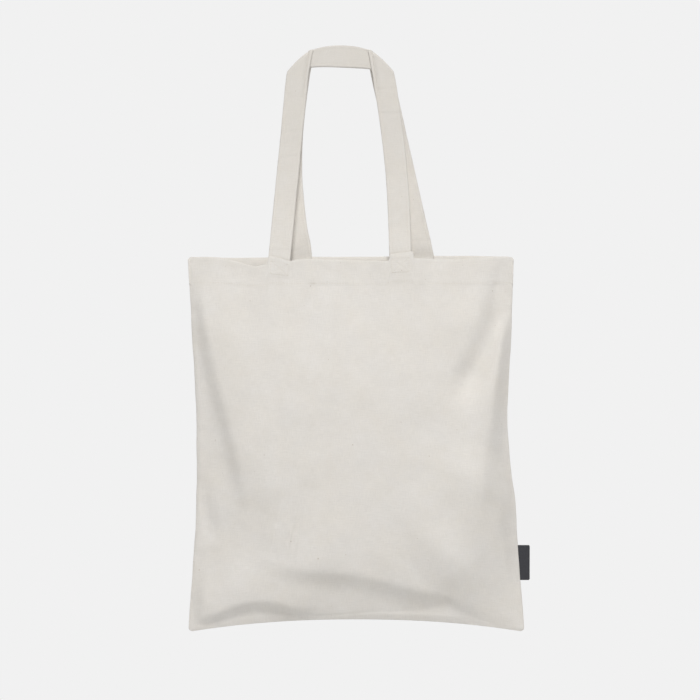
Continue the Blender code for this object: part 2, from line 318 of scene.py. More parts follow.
# Folds: height, width left and right of the path's direction, then the crest's path, all in mm
FRONT_FOLDS = (
    (8.6, 46, 12.5, ((-172, -222), (-163, -246), (-150, -292), (-131, -370), (-115, -430),
                     (-95, -520))),
    (16.0, 18, 42, ((198, -225), (190, -262), (182, -305), (173, -360), (165, -410), (158, -462),
                    (148, -535))),
    (-14.5, 15, 18, ((206, -212), (192, -250), (172, -300), (150, -348), (122, -392))),
    (9.2, 58, 14.5, ((-104, -552), (-80, -556), (-52, -563), (14, -569), (50, -577), (80, -586),
                     (114, -593), (141, -602), (181, -619))),
    (9.0, 40, 9, ((-172, -646), (-150, -624), (-130, -611), (-95, -602), (-58, -608), (-18, -625))),
    (13.0, 50, 60, ((200, -446), (170, -498), (136, -540), (92, -584))),
    (-3.4, 10, 12, ((-168, -460), (-156, -495), (-140, -545))),
    (-3.6, 10, 9, ((202, -445), (196, -480), (188, -550))),
    (-1.3, 3, 5, ((-30, -238), (-36, -278))),
    (-0.5, 1.6, 1.6, ((-166, -298), (-128, -301))),
    (-0.45, 1.6, 1.6, ((-164, -399), (-136, -401))),
    (-0.45, 1.6, 1.6, ((-168, -478), (-138, -480))),
    (-0.4, 1.6, 1.6, ((146, -446), (190, -447))),
)
# How high above the bottom seam the belly starts: (x, height) in mm
BOTTOM_LIP = ((-173, 2), (-159, 3), (-130, 9), (-95, 14), (-60, 9), (-33, 5), (0, 6), (30, 8),
              (60, 9), (82, 11), (103, 17), (121, 24), (135, 15), (150, 9), (175, 3), (208, 2))
BACK_FOLDS = (
    (9.0, 40, 13, ((-160, -240), (-142, -300), (-118, -385), (-100, -450))),
    (8.5, 13, 40, ((186, -240), (170, -310), (150, -385), (128, -450))),
    (10.0, 50, 16, ((-150, -596), (-100, -580), (-40, -588), (20, -572), (80, -584), (140, -596))),
    (-1.6, 14, 14, ((-60, -255), (-20, -330), (30, -380))),
    (-1.6, 14, 14, ((-150, -510), (-100, -545))),
    (-0.4, 1.6, 1.6, ((-164, -300), (-130, -302))),
    (-0.4, 1.6, 1.6, ((150, -400), (184, -402))),
)
# How the rim lies above (+) or below (-) the CAD's level rim: (x in metres, rise in mm)
FRONT_RIM = ((-0.173, -2.2), (-0.1718, -0.7), (-0.169, 0.6), (-0.150, 0.8), (-0.134, 0.0),
             (-0.123, -3.0), (-0.108, -7.3), (-0.096, -10.5), (-0.089, -9.2), (-0.083, -7.2),
             (-0.0812, 0.4), (-0.079, 1.4), (-0.068, -1.2), (-0.057, -4.5), (-0.052, -3.2),
             (-0.040, -1.8), (-0.008, -2.6), (0.052, -4.5), (0.0548, -3.4), (0.0566, 3.6),
             (0.079, 6.5), (0.0815, 6.4), (0.0820, -0.8), (0.130, -2.4), (0.150, -0.8),
             (0.190, 1.0), (0.1945, 0.4), (0.196, -1.8))
BACK_RIM = ((-0.173, -2.2), (-0.1718, -0.5), (-0.169, 1.0), (-0.120, 0.5), (-0.060, 1.5),
            (-0.045, 3.0), (-0.030, 1.6), (0.030, 1.8), (0.078, 2.4), (0.094, 3.6),
            (0.110, 2.6), (0.150, 2.8), (0.190, 1.4), (0.1945, 0.6), (0.196, -1.8))
RIMS = {FRONT: FRONT_RIM, BACK: BACK_RIM}
FOLDS = {FRONT: FRONT_FOLDS, BACK: BACK_FOLDS}


def rim_rise(side, x):
    """How far the rim lies above the CAD's level rim at x."""
    table = np.array(RIMS[side])
    return np.interp(x, table[:, 0], table[:, 1]) * MM


class Panel:
    """One side of the bag: where its outer face is, with folds, hem and seams."""

    def __init__(self, word, side):
        self.word = word
        self.side = side
        self.feet = strap_feet(word)

    def fullness(self, x, u, v):
        """How far the smooth face stands off the middle plane, before folds and seams."""
        left, right = side_limits(v)
        from_seam = (1 - np.abs(u)) * (right - left) / 2
        widening = ease(v / WIDENED_AT)
        full = MOUTH_DEPTH + (FULL_DEPTH - BELLY_CLEARANCE - MOUTH_DEPTH) * widening
        run = MOUTH_RUN + ADDED_RUN * widening
        across = np.sin(np.pi / 2 * np.clip(from_seam / run, 0, 1)) ** 0.9
        height = (1 - v) * (RIM_Z - bottom_z(u))
        lip = LIP_DEPTH * ease(height / LIP_HEIGHT)
        table = np.array(BOTTOM_LIP) * MM
        start = np.interp(-self.side * x, table[:, 0], table[:, 1])
        under = np.sin(np.pi / 2 * np.clip((height - start) / BOTTOM_RUN, 0, 1)) ** 0.85
        return across * (lip + (full - LIP_DEPTH) * under)

    def seam_rounding(self, u, v):
        """Keeps the two panels apart near a seam and turns their edges in at it."""
        left, right = side_limits(v)
        from_side = (1 - np.abs(u)) * (right - left) / 2
        from_bottom = (1 - v) * (RIM_Z - bottom_z(u))
        nearest = np.minimum(from_side, from_bottom)
        t = np.clip(1 - nearest / SEAM_RADIUS, 0, 1)
        return SEAM_RADIUS * np.sqrt(1 - t ** 2) + SEAM_GAP, nearest

    def puckers(self, x, z, nearest, u):
        """Small gathers that the seam stitches pull into the cloth beside a seam."""
        along = np.where(np.abs(u) > 0.9, z, x)
        wave = np.sin(along / (3.1 * MM)) + 0.8 * np.sin(along / (5.3 * MM) + 1.3)
        return PUCKER_HEIGHT * wave * np.exp(-nearest / (7 * MM)) * ease(nearest / (2.5 * MM))

    def sewn_layers(self, x, z, drop, from_side):
        """What the hem, the strap ends, the seams and the stitches inside do to the face."""
        pull = 0.6 + 0.5 * np.sin(x / (23 * MM)) * np.sin(x / (9 * MM) + 1)
        hem = HEM_STEP * pull * (1 - ease((drop - HEM_DEPTH) / (1.8 * MM) + 0.5))
        hem -= HEM_GROOVE * pull * bump(drop - HEM_STITCH_DROP, 1.1 * MM)
        straps = np.zeros_like(x)
        for foot in self.feet:
            beside = 1 - ease((np.abs(x - foot) - STRAP_WIDTH / 2) / (1.4 * MM) + 0.5)
            below = 1 - ease((drop - STRAP_SEWN_LENGTH) / (3.0 * MM) + 0.5)
            straps += STRAP_STEP * beside * below
            in_box = (ease(1.6 - np.abs(x - foot) / (10 * MM))
                      * ease(1.8 - np.abs(drop - BOX_MIDDLE) / (7 * MM)))
            for slope in (-1, 1):
                crossing = (x - foot) * slope - (drop - BOX_MIDDLE) * CROSS_SLOPE
                straps -= CROSS_GROOVE * bump(crossing, 1.3 * MM) * in_box
        allowance = 1 - ease((from_side - SEAM_WIDTH) / (2.4 * MM) + 0.5)
        strength = ALLOWANCE_STEP * (0.6 + 0.5 * np.sin(z / (17 * MM)) * np.sin(z / (7 * MM)))
        return hem + straps + allowance * strength * ease(from_side / (6 * MM))

    def depth(self, u, v):
        """X, z and the distance of the outer face from the middle plane."""
        left, right = side_limits(v)
        x = (left + right) / 2 + u * (right - left) / 2
        z = RIM_Z + (bottom_z(u) - RIM_Z) * v
        rounding, nearest = self.seam_rounding(u, v)
        total = full = self.fullness(x, u, v)
        drop = RIM_Z - z
        inside = ease(nearest / FOLD_MARGIN)
        for height, left_width, right_width, points in FOLDS[self.side]:
            total = total + fold(x, z, height, left_width, right_width, points) * inside
        least = LEAST_FULLNESS * full
        spare = total - least
        total = least + (spare + np.sqrt(spare ** 2 + (LIMIT_SOFTNESS * inside) ** 2)) / 2
        spots = np.stack([x, z, np.full(x.shape, 0.3 * self.side)], axis=-1)
        total = total + inside * sum(height * perlin(spots, size, seed)
                                     for height, size, seed in UNEVENNESS)
        total = total + self.puckers(x, z, nearest, u)
        ridge = SEAM_RIDGE * bump(nearest - 3.2 * MM, 2.0 * MM)
        total = total + ridge * ease((drop - 4 * MM) / 0.02)
        from_side = (1 - np.abs(u)) * (right - left) / 2
        total = total + self.sewn_layers(x, z, drop, from_side) * ease(nearest / (5 * MM))
        return x, z, total + rounding

    def points(self, u, v, inset):
        """Points at u and v, an inset inside the outer face."""
        x, z, depth = self.depth(u, v)
        drop = RIM_Z - z
        rise = rim_rise(self.side, x) * fade(drop, RIM_REACH)
        outward = RIM_WANDER * perlin(np.stack([x, x * 0, x * 0], -1), 60 * MM, 5.0 * self.side)
        foot = np.minimum(*(np.abs(x - foot) for foot in self.feet))
        slack = SLACK[self.side]
        outward -= slack * ease((foot - 15 * MM) / (26 * MM)) * ease((1 - np.abs(u)) / 0.3)
        outward = outward * fade(drop, 75 * MM)
        if self.side == BACK:
            outward = outward + BACK_FLARE * fade(drop, 11 * MM)
        outward = outward * ease((1 - np.abs(u)) / 0.1)
        y = self.side * (depth + outward - inset)
        return np.stack([x, y, z + rise], axis=-1)

    def at(self, x, drop, inset=0.0):
        """Points of this panel at x and a drop below the level rim."""
        x = np.asarray(x, float)
        v = np.asarray(drop, float) / (RIM_Z - CORNER_Z)
        left, right = side_limits(v)
        u = (x - (left + right) / 2) / ((right - left) / 2)
        v = drop / (RIM_Z - bottom_z(u))
        return self.points(u, v, inset)


def make_panel(panel):
    """One sheet: up the inside of the hem, over the rim, and down the outside to the bottom."""
    spans = [(foot - STRAP_WIDTH / 2 - 3 * MM, foot + STRAP_WIDTH / 2 + 3 * MM)
             for foot in panel.feet]
    spans += [(LEFT_X[0], LEFT_X[0] + 5 * MM), (RIGHT_X[0] - 5 * MM, RIGHT_X[0])]
    across = spaced(LEFT_X[0], RIGHT_X[0], STEP_ACROSS, spans, FINE_STEP)
    us = (across - (RIGHT_X[0] + LEFT_X[0]) / 2) / ((RIGHT_X[0] - LEFT_X[0]) / 2)
    height = RIM_Z - CORNER_Z
    turn = RIM_TURN
    rows = [(CANVAS / 2 + 2 * turn, drop) for drop in spaced(turn, HEM_DEPTH, STEP_IN_HEM)[::-1]]
    rows += [(CANVAS / 2 + turn + turn * math.cos(angle), turn - turn * math.sin(angle))
             for angle in np.linspace(0, math.pi, 6)[1:-1]]
    fine_rows = [(4 * MM, HEM_DEPTH + 3 * MM), (height - 8 * MM, height)]
    rows += [(CANVAS / 2, drop) for drop in spaced(turn, height, STEP_DOWN, fine_rows, FINE_STEP)]
    grid = np.array([panel.points(us, np.full(us.shape, drop / height), inset)
                     for inset, drop in rows])
    steps = np.array([abs(b[1] - a[1]) + abs(b[0] - a[0]) for a, b in zip(rows[:-1], rows[1:])])
    down = np.concatenate([[0], np.cumsum(steps)])
    piece = grid_mesh(f"{panel.word}_canvas", grid, flat_grid(across, -down))
    if panel.side == BACK:
        piece.data.flip_normals()
    give_thickness(piece, CANVAS)
    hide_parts(f"{panel.word}_panel", f"{panel.word}_hem")
    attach(piece, "bag")
    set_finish(piece, "cotton_canvas")


# --- Stitches ---

def stitch_rows(name, runs, pitch=STITCH_PITCH, length=STITCH_LENGTH, radius=THREAD_RADIUS):
    """Short raised stitches along runs of (points, outward normals)."""
    # A stitch's rings: place along it, swell and lift, in lengths, radii and radii
    rings = ((-0.5, 0.35, -0.9), (-0.3, 0.9, 0.05), (0.3, 0.9, 0.05), (0.5, 0.35, -0.9))
    sides = 5
    vertices, faces = [], []
    for points, normals in runs:
        points, normals = np.array(points), np.array(normals)
        travelled = distances_along(points)
        count = max(int(travelled[-1] / pitch), 1)
        for k in range(count):
            middle = (k + 0.5) / count * travelled[-1]
            centre, before, after, up = (
                np.array([np.interp(place, travelled, table[:, axis]) for axis in range(3)])
                for place, table in ((middle, points), (middle - length / 2, points),
                                     (middle + length / 2, points), (middle, normals)))
            direction = (after - before) / max(np.linalg.norm(after - before), 1e-9)
            up = up / np.linalg.norm(up)
            beside = np.cross(direction, up)
            first = len(vertices)
            for place, swell, lift in rings:
                core = centre + direction * place * length + up * lift * radius
                for side in range(sides):
                    angle = 2 * math.pi * side / sides
                    vertices.append(core + swell * radius * (beside * math.cos(angle)
                                                             + up * math.sin(angle)))
            for ring in range(len(rings) - 1):
                for side in range(sides):
                    a = first + ring * sides + side
                    b = first + ring * sides + (side + 1) % sides
                    faces.append((a, b, b + sides, a + sides))
            faces.append(tuple(range(first + sides - 1, first - 1, -1)))
            last = first + (len(rings) - 1) * sides
            faces.append(tuple(range(last, last + sides)))
    mesh = bpy.data.meshes.new(name)
    mesh.from_pydata([tuple(vertex) for vertex in vertices], [], faces)
    mesh.polygons.foreach_set("use_smooth", [True] * len(mesh.polygons))
    piece = add_object(name, mesh)
    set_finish(piece, "sewing_thread")
    return piece


def run_on_panel(panel, start, end, inset=0.0):
    """A straight run of stitches on a panel, from one (x, drop) to another."""
    t = np.linspace(0, 1, 60)
    x = start[0] + (end[0] - start[0]) * t
    drop = start[1] + (end[1] - start[1]) * t
    points = panel.at(x, drop, inset)
    outward = panel.side if inset <= 0 else -panel.side
    return points, np.tile((0.0, outward, 0.0), (len(points), 1))


def make_hem_stitching(panel):
    """The hem's row of stitches, outside and inside."""
    drop = HEM_STITCH_DROP
    left, right = LEFT_X[1] + 3 * MM, RIGHT_X[1] - 3 * MM
    runs = [run_on_panel(panel, (left, drop), (right, drop)),
            run_on_panel(panel, (left + 8 * MM, drop), (right - 8 * MM, drop),
                         2 * CANVAS + 0.35 * MM)]
    piece = stitch_rows(f"{panel.word}_hem_stitches", runs)
    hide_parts(f"{panel.word}_hem_stitching")
    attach(piece, "bag")


def make_box_stitching(panel, leg):
    """A box with a cross in it, sewn in one run."""
    low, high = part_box(f"{panel.word}_{leg}_box_stitching")
    x0, x1 = low.x + 1.2 * MM, high.x - 1.2 * MM
    top, bottom = RIM_Z - high.z + 0.5 * MM, RIM_Z - low.z - 0.5 * MM
    corners = [(x0, top), (x1, top), (x1, bottom), (x0, bottom)]
    order = [0, 1, 2, 3, 0, 2, 3, 1]
    runs = [run_on_panel(panel, corners[a], corners[b]) for a, b in zip(order[:-1], order[1:])]
    piece = stitch_rows(f"{panel.word}_{leg}_box_stitches", runs, 2.6 * MM, 2.2 * MM)
    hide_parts(f"{panel.word}_{leg}_box_stitching")
    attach(piece, "bag")


# --- Straps ---

# Creases: (height, slant across the strap, depth), in mm, for the left leg and the right leg
STRAP_SHAPES = {
    "front": {"bows": (0.0, 4.5 * MM), "crown_inset": 0.0, "seed": 2.0,
              "creases": (((-206, 0, 0.6), (-100, 1, 0.5), (-72, 2, 0.4), (-30, -1, 0.3)),
                          ((-178, 1, 0.3), (-50.5, 0, 0.6), (-120, -2, 0.3), (-23, 1, 0.4)))},
    "back": {"bows": (-10 * MM, 0.0), "crown_inset": 1.5 * MM, "seed": 8.0,
             "creases": (((-204, 6, 0.6), (-150, 1, 0.4), (-90, 0, 0.5)),
                         ((-194.5, 1, 0.8), (-205.5, 0, 0.3), (-210.5, 0, 0.3),
                          (-120, 0, 0.4)))},
}
SHOULDER = (61.2 * MM, -8.5 * MM)
CROWN_FOLD = (30.8 * MM, 20.3 * MM)
FOLD_BOW = 1.4 * MM
CROWN_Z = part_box("front_handle_strap")[1].z
LEG_TOP_DEPTH = 3.2 * MM
BAND_DEPTH = 1.1 * MM
LEG_STEPS = 130
LEG_SWAY = 0.7 * MM
LEG_TWIST = 0.9 * MM
# A crease's unit of depth, and the distances over which it steps in and comes back out
CREASE_DEPTH = 0.8 * MM
CREASE_TURN = 0.8 * MM
CREASE_RETURN = {FRONT: 7 * MM, BACK: 2.2 * MM}
BAND_DENT = 0.9 * MM
BAND_TILT = 2.4 * MM
# The row of edge stitches, as a share of the half width, and its groove near the crown
EDGE_ROW = 0.72
EDGE_GROOVE = 0.75 * MM


def lie(side, x, y, z):
    """A point or direction whose y counts outward from the middle plane."""
    return np.array((x, side * y, z))


def strap_leg(panel, foot, top, bow, seed, creases):
    """Rows (edge, edge, outward, bow) of a leg, from its sewn end in the hem to the shoulder."""
    side = panel.side
    rows = []
    half = STRAP_WIDTH / 2
    inset = 2 * CANVAS + 0.7 * MM + STRAP / 2
    for drop in spaced(3 * MM, STRAP_SEWN_LENGTH, 3 * MM)[::-1]:
        edges = panel.at(np.array([foot - half, foot + half]), drop, inset)
        rows.append((edges[0], edges[1], lie(side, 0, 1, 0), np.zeros(3)))
    start_z = rows[-1][0][2] + 3 * MM
    start_y = abs(rows[-1][0][1])
    lean = (top - foot) / (SHOULDER[1] - RIM_Z)
    for k in range(LEG_STEPS + 1):
        t = k / LEG_STEPS
        z = start_z + (SHOULDER[1] - start_z) * t
        x = foot + (top - foot) * t + bow * math.sin(math.pi * t)
        y = start_y + (LEG_TOP_DEPTH - start_y) * t
        free = math.sin(math.pi * t)
        y += LEG_SWAY * free * noise.noise(Vector((seed, foot * 40, z * 16)))
        slant = 0.0
        for height, tilt, depth in creases:
            below = max(height * MM - z, 0.0)
            y += (side * CREASE_DEPTH * depth * (1 - math.exp(-below / CREASE_TURN))
                  * math.exp(-below / CREASE_RETURN[side]))
            slant += tilt * MM * math.exp(-((z - height * MM) / (12 * MM)) ** 2)
        twist = LEG_TWIST * free * noise.noise(Vector((seed + 4, foot * 40, z * 14)))
        width = (half * (1 + 0.012 * noise.noise(Vector((seed + 9, z * 60, foot))))
                 / math.cos(math.atan(lean)))
        rows.append((lie(side, x - width, y - twist, z - slant),
                     lie(side, x + width, y + twist, z + slant), lie(side, 0, 1, 0),
                     np.zeros(3)))
    return rows


def strap_fold(side, low, high):
    """Rows around the diagonal fold, from the leg's layer to the crown band's layer."""
    along = (high - low) / np.linalg.norm(high - low)
    outward = np.array((-along[2], 0.0, along[0])) * (1 if along[0] > 0 else -1)
    radius = (LEG_TOP_DEPTH - BAND_DEPTH) / 2
    middle = np.array((0.0, side * (LEG_TOP_DEPTH + BAND_DEPTH) / 2, 0.0))
    rows = []
    for angle in np.linspace(0, math.pi, 9):
        normal = np.array((0.0, side * math.cos(angle), 0.0)) + outward * math.sin(angle)
        pinch = 0.045 * (high - low) * math.sin(angle)
        shift = middle + normal * radius
        rows.append((low + pinch + shift, high - pinch + shift, normal, outward * FOLD_BOW))
    return rows


def strap_shoulder(low_row, fold_row, count=6):
    """Rows that turn from level to the diagonal of the fold, all in the leg's layer."""
    return [tuple(low_row[k] * (1 - t) + fold_row[k] * t for k in range(4))
            for t in np.linspace(0, 1, count + 1)[1:-1]]


def strap_band(side, shoulder, crown):
    """Rows over the crown, from the left fold to the right one, in the band's layer."""
    rows = []
    for f in np.linspace(-1, 1, 25)[1:-1]:
        tilt = -BAND_TILT * f * (1 - f ** 2)
        dent = BAND_DENT * math.cos(math.pi * f / 2)
        low_dent, high_dent = (dent * noise.noise(Vector((f * 2.4, side * 3.0, end)))
                               for end in (1.0, 6.0))
        lower = lie(side, f * shoulder, BAND_DEPTH + low_dent,
                    SHOULDER[1] * abs(f) ** 3.6 + tilt)
        rise = (CROWN_Z - CROWN_FOLD[1]) * (1 - abs(f) ** 2.2)
        upper = lie(side, f * crown, BAND_DEPTH + high_dent, CROWN_FOLD[1] + rise)
        bow = FOLD_BOW * (1 - ease((1 - abs(f)) / 0.3))
        rows.append((lower, upper, lie(side, 0, -1, 0),
                     np.array((np.sign(f) * 0.68, 0.0, 0.73)) * bow))
    return rows


def strap_rows(panel):
    """All rows of one strap, from the left sewn end over the crown to the right one."""
    shape = STRAP_SHAPES[panel.word]
    side = panel.side
    shoulder = SHOULDER[0] - shape["crown_inset"]
    crown = CROWN_FOLD[0] - shape["crown_inset"]
    top = shoulder - STRAP_WIDTH / 2
    legs = [strap_leg(panel, foot, sign * top, bow, shape["seed"], creases)
            for foot, sign, bow, creases in zip(panel.feet, (-1, 1), shape["bows"],
                                                shape["creases"])]
    folds = [strap_fold(side, np.array((sign * shoulder, 0.0, SHOULDER[1])),
                        np.array((sign * crown, 0.0, CROWN_FOLD[1]))) for sign in (-1, 1)]
    legs[1] = [(b, a, normal, bow) for a, b, normal, bow in legs[1]]
    rows = legs[0][:-1] + strap_shoulder(legs[0][-1], folds[0][0]) + folds[0]
    rows += strap_band(side, shoulder, crown)
    rows += folds[1][::-1] + strap_shoulder(legs[1][-1], folds[1][0])[::-1]
    rows += legs[1][:-1][::-1]
    return rows


def strap_section():
    """The strap's cross-section as (across from -1 to 1, out from -1 to 1), with soft edges."""
    top = [(-0.96, 0.72), (-0.90, 1.0), (-0.78, 1.0), (-0.72, 0.90), (-0.66, 1.02), (-0.30, 1.04),
           (0.0, 1.05), (0.30, 1.04), (0.66, 1.02), (0.72, 0.90), (0.78, 1.0), (0.90, 1.0),
           (0.96, 0.72)]
    return np.array([(-1.0, 0.0)] + top + [(1.0, 0.0)] + [(a, -b) for a, b in reversed(top)])


def make_strap(panel):
    """One handle: a single strap from sewn end to sewn end, and the stitches along its edges."""
    rows = strap_rows(panel)
    section = strap_section()
    edge_a, edge_b, normals, bows = (np.array([row[k] for row in rows]) for k in range(4))
    normals = normals / np.linalg.norm(normals, axis=1)[:, None]
    middle, reach = (edge_a + edge_b) / 2, (edge_b - edge_a) / 2
    points = (middle[:, None] + reach[:, None] * section[None, :, :1]
              + normals[:, None] * section[None, :, 1:] * STRAP / 2
              + bows[:, None] * (1 - section[None, :, :1] ** 2))
    near_fold = ease((middle[:, 2] + 45 * MM) / (40 * MM)) * (normals[:, 1] * panel.side > -0.5)
    grooved = np.abs(section[:, 0] - EDGE_ROW) < 0.01
    points -= (EDGE_GROOVE * near_fold[:, None, None] * normals[:, None]
               * (grooved * np.sign(section[:, 1]))[None, :, None])
    around = np.append(section[:, 0], section[0, 0]) * STRAP_WIDTH / 2
    flat = flat_grid(around, distances_along(middle))
    piece = grid_mesh(f"{panel.word}_strap", points, flat, closed=True)
    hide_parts(f"{panel.word}_handle_strap", f"{panel.word}_left_strap_end",
                f"{panel.word}_right_strap_end")
    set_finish(piece, "strap_canvas")
    bend_at_rim(piece)
    runs = []
    lying = np.abs(normals[:, 1]) > 0.95
    breaks = np.flatnonzero(np.diff(lying.astype(int))) + 1
    for span in np.split(np.arange(len(rows)), breaks):
        if not lying[span[0]] or len(span) < 4:
            continue
        for across in (-EDGE_ROW, EDGE_ROW):
            for out in (1, -1):
                line = (middle + reach * across + bows * (1 - across ** 2)
                        + normals * out * (STRAP / 2 * 0.93))
                runs.append((line[span], normals[span] * out))
    stitches = stitch_rows(f"{panel.word}_strap_stitches", runs, 2.9 * MM, 2.3 * MM, 0.17 * MM)
    bend_at_rim(stitches)


def bend_at_rim(piece):
    """Bakes the piece's place into its mesh; it is not split at the rim nor tied to the bag or the
    handle.
    """
    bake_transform(piece)


# --- Seams inside the bag ---

SEAM_INSET = 1.2 * MM
ALLOWANCE_HALF_THICKNESS = 0.7 * MM
OVERLOCK_PITCH = 2.6 * MM
OVERLOCK_TURN_STEPS = 6
OVERLOCK_RADIUS = 0.22 * MM


def seam_line(word):
    """Points of a seam's outline and the direction into the bag, as two (n, 3) arrays."""
    if word == "bottom":
        u = np.linspace(-0.965, 0.965, 90)
        x = (LEFT_X[-1] + RIGHT_X[-1]) / 2 + u * (RIGHT_X[-1] - LEFT_X[-1]) / 2
        line = np.stack([x, x * 0, bottom_z(u) + SEAM_INSET], axis=-1)
        return line, np.tile((0.0, 0.0, 1.0), (len(line), 1))
    v = np.linspace(0.006, 0.975, 100)
    edge = 0 if word == "left" else 1
    inward = 1 - 2 * edge
    x = side_limits(v)[edge] + inward * SEAM_INSET
    line = np.stack([x, x * 0, RIM_Z + (CORNER_Z - RIM_Z) * v], axis=-1)
    return line, np.tile((inward, 0.0, 0.0), (len(line), 1))


def make_seam(word):
    """The two layers of cloth that a seam turns inside, as one wavy strip."""
    line, inward = seam_line(word)
    half = ALLOWANCE_HALF_THICKNESS
    section = ((0.0, -half), (SEAM_WIDTH - 2.5 * MM, -half), (SEAM_WIDTH - 1.6 * MM, 0.0),
               (SEAM_WIDTH - 2.5 * MM, half), (0.0, half))
    wave = np.array([noise.noise(Vector((k * 0.23, 4.0, 1.0))) for k in range(len(line))])
    points = np.stack([line + inward * (reach + 0.5 * MM * wave[:, None] * (reach > 0))
                       + np.array((0.0, 1.0, 0.0)) * (out + 0.4 * MM * wave[:, None] * (reach > 0))
                       for reach, out in section], axis=1)
    run = distances_along(line)
    around = np.array([reach for reach, out in section] + [0.0])
    if word == "left":
        points = points[:, ::-1]
    piece = grid_mesh(f"{word}_seam_allowance", points, flat_grid(around, run), closed=True)
    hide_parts("bottom_seam" if word == "bottom" else f"{word}_side_seam")
    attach(piece, "bag")
    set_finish(piece, "cotton_canvas")


def make_overlock(word):
    """A thread wound around the raw edge of a seam allowance."""
    line, inward = seam_line(word)
    run = distances_along(line)
    turns = int(run[-1] / OVERLOCK_PITCH)
    steps = OVERLOCK_TURN_STEPS
    angle = np.arange(turns * steps + 1) * 2 * math.pi / steps
    place = np.linspace(0, run[-1], len(angle))
    base = np.stack([np.interp(place, run, line[:, axis]) for axis in range(3)], axis=-1)
    reach = SEAM_WIDTH - 3.4 * MM + 2.2 * MM * np.cos(angle)
    core = base + inward[0] * reach[:, None]
    core[:, 1] += 1.0 * MM * np.sin(angle)
    ring = np.array([(math.cos(a), math.sin(a)) for a in np.linspace(0, 2 * math.pi, 5)[:-1]])
    tangent = np.gradient(core, axis=0)
    tangent = tangent / np.linalg.norm(tangent, axis=1)[:, None]
    beside = np.cross(tangent, (0.31, 0.89, 0.33))
    beside = beside / np.linalg.norm(beside, axis=1)[:, None]
    above = np.cross(beside, tangent)
    points = core[:, None] + OVERLOCK_RADIUS * (beside[:, None] * ring[None, :, :1]
                                                + above[:, None] * ring[None, :, 1:])
    flat = np.zeros((len(core), len(ring) + 1, 2))
    piece = grid_mesh(f"{word}_overlock", points, flat, closed=True)
    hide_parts(f"{word}_overlock_thread")
    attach(piece, "bag")
    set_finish(piece, "sewing_thread")


# --- Label ---

def make_label():
    """A blank woven ribbon, folded double, its ends held in the right side seam."""
    low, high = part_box("side_label")
    tuck = 4 * MM
    heights = np.linspace(low.z, high.z, 30)
    seam_x = np.interp((RIM_Z - heights) / (RIM_Z - CORNER_Z), LEVELS, RIGHT_X)
    length = np.linspace(0, 1, 16)
    half = 0.33 * MM
    rows = []
    for z, x0 in zip(heights, seam_x):
        t = (z - low.z) / (high.z - low.z)
        corner = 0.9 * MM * max(0.0, abs(2 * t - 1) * 20 - 19)
        x = (x0 - tuck) + (high.x - corner - x0 + tuck) * length
        curl = 0.5 * MM * np.sin(math.pi * t * 1.3 + 0.4) * np.clip(length * 1.4 - 0.4, 0, 1) ** 2
        swell = half * (1 + 0.5 * bump(length - 0.93, 0.06))
        near = np.stack([x, curl - swell, np.full(x.shape, z)], axis=-1)
        far = np.stack([x, curl + swell, np.full(x.shape, z)], axis=-1)
        tip = near[-1] * 0.5 + far[-1] * 0.5 + np.array((0.3 * MM, 0.0, 0.0))
        rows.append(np.concatenate([near, [tip], far[::-1]]))
    points = np.array(rows)
    around = np.concatenate([length, [1.02], length[::-1], [0.0]]) * 17 * MM
    piece = grid_mesh("label_ribbon", points, flat_grid(around, heights), closed=True)
    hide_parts("side_label")
    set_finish(piece, "woven_label")
    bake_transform(piece)


# --- Materials ---

CANVAS_COLOURS = ((0.796, 0.767, 0.726), (0.786, 0.748, 0.690))
# The straps' canvas, painted a little lighter than the panels' to offset the shade on the legs near
# the rim.
LIGHTENED_STRAP_COLOURS = ((0.806, 0.776, 0.732), (0.794, 0.752, 0.688))
FLECK = (0.30, 0.20, 0.12, 1.0)
THREAD_COLOURS = ((0.74, 0.70, 0.63, 1.0), (0.66, 0.61, 0.53, 1.0))
LABEL_COLOURS = ((0.016, 0.016, 0.020, 1.0), (0.032, 0.032, 0.038, 1.0))
# Painted highlight colour for the raised threads of the label's weave.
LABEL_PAINTED_HIGHLIGHT = (0.055, 0.055, 0.064, 1.0)


def darker(colour, share):
    return tuple(share * c for c in colour) + (1.0,)


